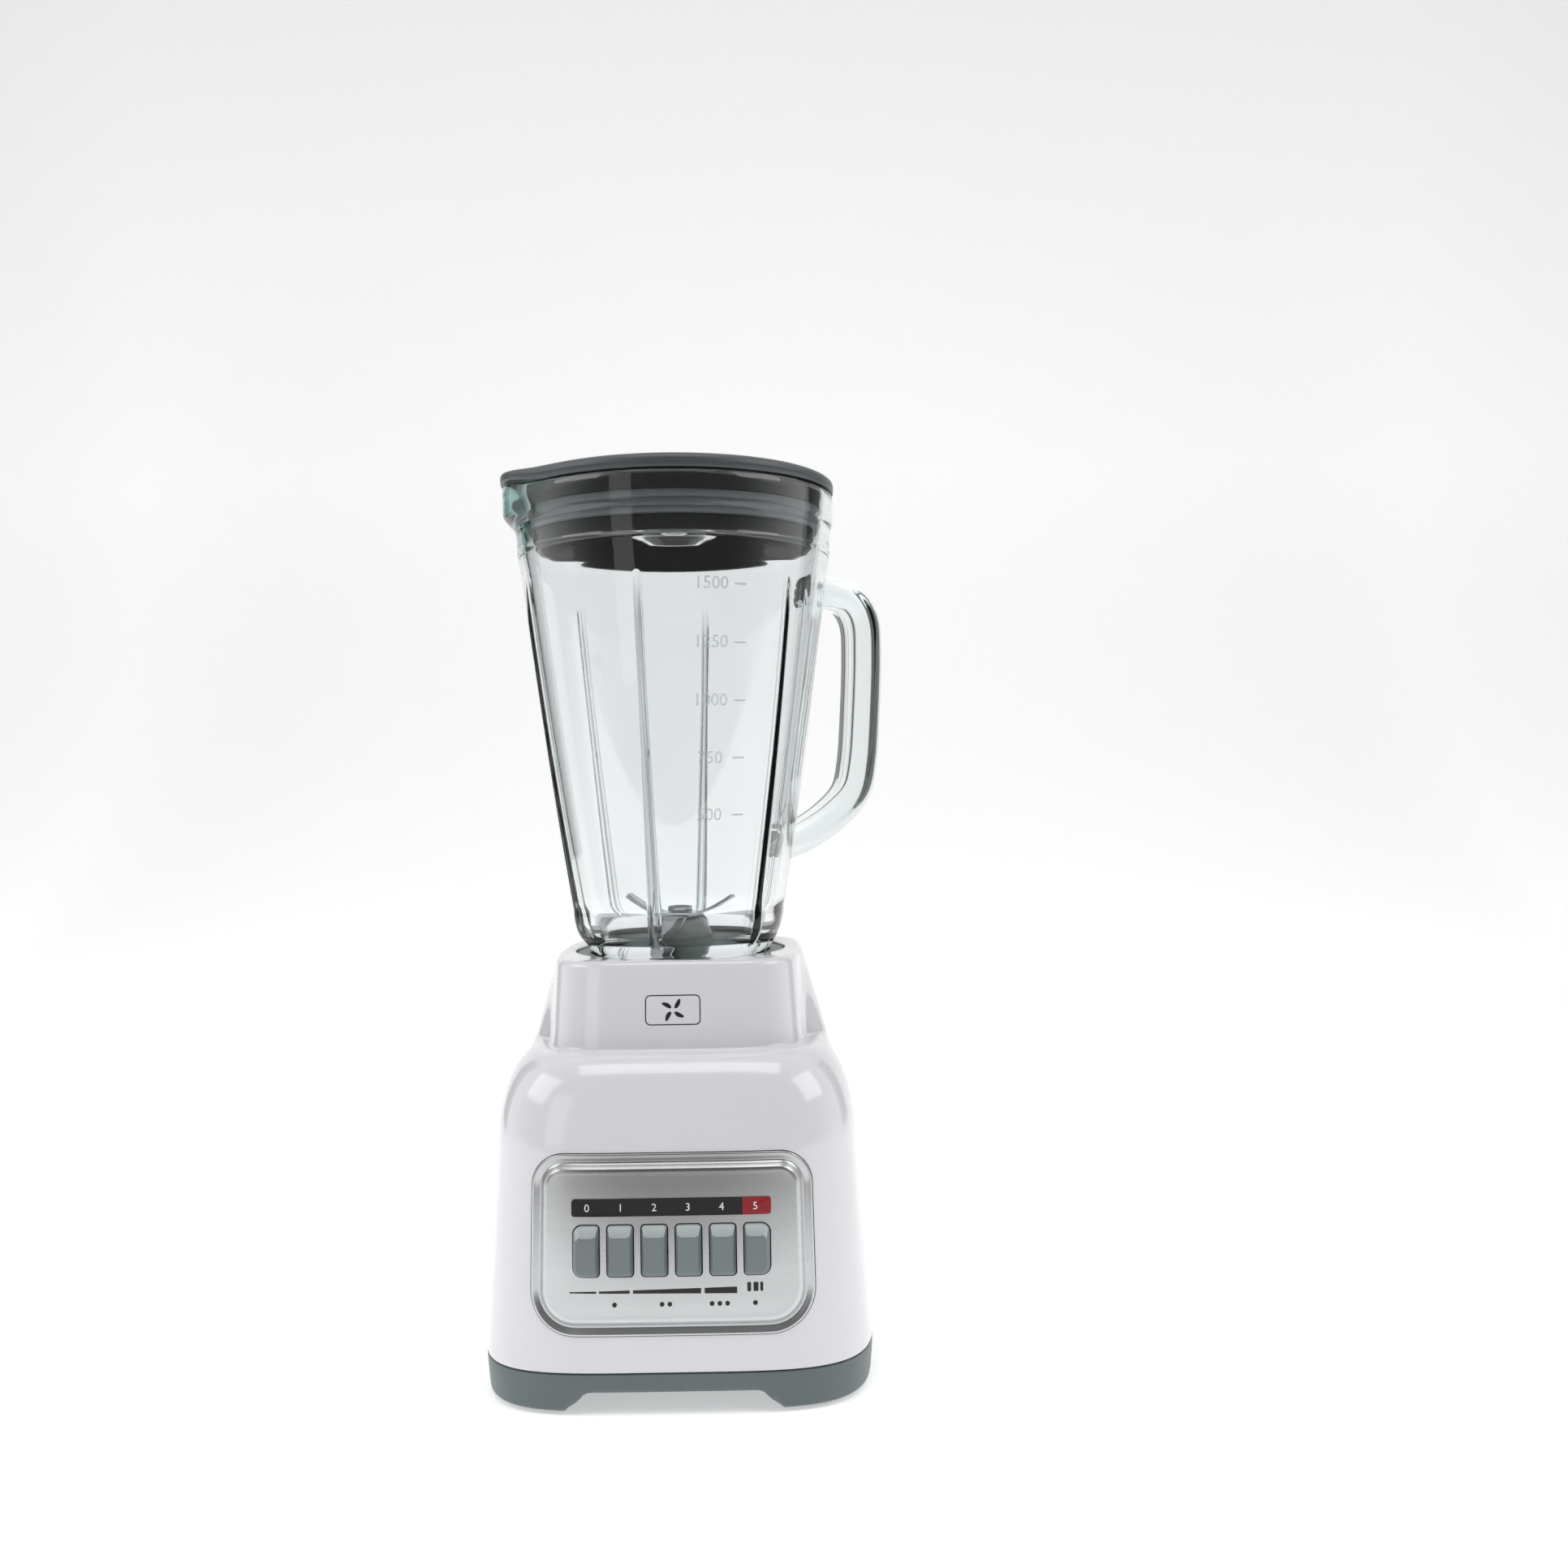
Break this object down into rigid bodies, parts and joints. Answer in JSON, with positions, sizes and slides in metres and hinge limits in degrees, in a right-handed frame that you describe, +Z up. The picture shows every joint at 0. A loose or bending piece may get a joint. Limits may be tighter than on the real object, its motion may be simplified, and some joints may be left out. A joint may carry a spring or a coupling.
{
  "type": "countertop blender",
  "caption": "Countertop blender with a ribbed glass jar, side handle, dark lid and a white square motor base with push keys.",
  "frame": {"origin": "centre of the outer box, on the worktop below the blender", "axes": "+Z up, front with the keys towards -Y, +X to the viewer's right"},
  "size_m": [0.177, 0.1734, 0.3934],
  "materials": {
    "white_gloss": "glossy white moulded plastic",
    "base_grey": "grey moulded plastic",
    "rubber": "black rubber",
    "steel": "polished steel",
    "panel_steel": "brushed silver",
    "label_black": "black strip with a red end",
    "key_grey": "satin grey plastic",
    "dark_plastic": "black plastic",
    "iron": "laminated iron",
    "copper": "copper",
    "carbon": "carbon",
    "jar_glass": "clear moulded glass",
    "collar_grey": "grey plastic",
    "seal_grey": "grey silicone",
    "lid_grey": "dark grey plastic",
    "cap_clear": "clear plastic"
  },
  "bodies": {
    "motor_base": {"motor_housing": "white_gloss", "base_shell": "base_grey", "foot_pad_1": "rubber", "foot_pad_2": "rubber", "foot_pad_3": "rubber", "foot_pad_4": "rubber", "base_screw_1": "steel", "base_screw_2": "steel", "base_screw_3": "steel", "base_screw_4": "steel", "cord_gland": "dark_plastic", "control_panel": "panel_steel", "label_strip": "label_black", "switch_frame": "dark_plastic", "key_spring_1": "steel", "key_spring_2": "steel", "key_spring_3": "steel", "key_spring_4": "steel", "key_spring_5": "steel", "key_spring_6": "steel", "stator_core": "iron", "field_coil_left": "copper", "field_coil_right": "copper", "motor_bracket_lower": "iron", "motor_bracket_upper": "iron", "bearing_lower": "steel", "bearing_upper": "steel", "motor_damper_1": "rubber", "motor_damper_2": "rubber", "motor_damper_3": "rubber", "motor_damper_4": "rubber", "brush_holder_front": "dark_plastic", "brush_holder_back": "dark_plastic", "carbon_brush_front": "carbon", "carbon_brush_back": "carbon"},
    "rotor": {"motor_shaft": "steel", "armature_core": "iron", "commutator": "copper", "cooling_fan": "dark_plastic", "drive_coupling": "dark_plastic"},
    "jar": {"glass_jar": "jar_glass", "jar_collar": "collar_grey", "blade_base": "dark_plastic", "jar_gasket": "seal_grey", "blade_bushing": "copper"},
    "blades": {"blade_shaft": "steel", "blade_lower": "steel", "blade_upper": "steel", "blade_nut": "steel", "driven_coupling": "dark_plastic"},
    "jar_lid": {"lid": "lid_grey", "lid_seal": "seal_grey"},
    "filler": {"filler_cap": "cap_clear"},
    "key_1_body": {"key_1": "key_grey"},
    "key_2_body": {"key_2": "key_grey"},
    "key_3_body": {"key_3": "key_grey"},
    "key_4_body": {"key_4": "key_grey"},
    "key_5_body": {"key_5": "key_grey"},
    "key_6_body": {"key_6": "key_grey"}
  },
  "joints": [
    {"name": "rotor_spin", "type": "hinge", "parent": "motor_base", "child": "rotor", "pos_m": [-0.0056, 0.0008, 0.08], "axis": [0, 0, 1], "continuous": true},
    {"name": "jar_lift", "type": "slide", "parent": "motor_base", "child": "jar", "axis": [0, 0, 1], "range_m": [0, 0.06]},
    {"name": "blade_spin", "type": "hinge", "parent": "jar", "child": "blades", "pos_m": [-0.0056, 0.0008, 0.18], "axis": [0, 0, 1], "continuous": true},
    {"name": "lid_lift", "type": "slide", "parent": "jar", "child": "jar_lid", "axis": [0, 0, 1], "range_m": [0, 0.045]},
    {"name": "cap_lift", "type": "slide", "parent": "jar_lid", "child": "filler", "axis": [0, 0, 1], "range_m": [0, 0.045]},
    {"name": "key_1_press", "type": "slide", "parent": "motor_base", "child": "key_1_body", "axis": [0, 0.998, -0.0627], "range_m": [0, 0.004], "stiffness_N_per_m": 400, "springref_m": -0.004, "deforming": ["key_spring_1"]},
    {"name": "key_2_press", "type": "slide", "parent": "motor_base", "child": "key_2_body", "axis": [0, 0.998, -0.0627], "range_m": [0, 0.004], "stiffness_N_per_m": 400, "springref_m": -0.004, "deforming": ["key_spring_2"]},
    {"name": "key_3_press", "type": "slide", "parent": "motor_base", "child": "key_3_body", "axis": [0, 0.998, -0.0627], "range_m": [0, 0.004], "stiffness_N_per_m": 400, "springref_m": -0.004, "deforming": ["key_spring_3"]},
    {"name": "key_4_press", "type": "slide", "parent": "motor_base", "child": "key_4_body", "axis": [0, 0.998, -0.0627], "range_m": [0, 0.004], "stiffness_N_per_m": 400, "springref_m": -0.004, "deforming": ["key_spring_4"]},
    {"name": "key_5_press", "type": "slide", "parent": "motor_base", "child": "key_5_body", "axis": [0, 0.998, -0.0627], "range_m": [0, 0.004], "stiffness_N_per_m": 400, "springref_m": -0.004, "deforming": ["key_spring_5"]},
    {"name": "key_6_press", "type": "slide", "parent": "motor_base", "child": "key_6_body", "axis": [0, 0.998, -0.0627], "range_m": [0, 0.004], "stiffness_N_per_m": 400, "springref_m": -0.004, "deforming": ["key_spring_6"]}
  ],
  "couplings": [
    {"joint": "blade_spin", "follows": "rotor_spin", "ratio": 1}
  ]
}
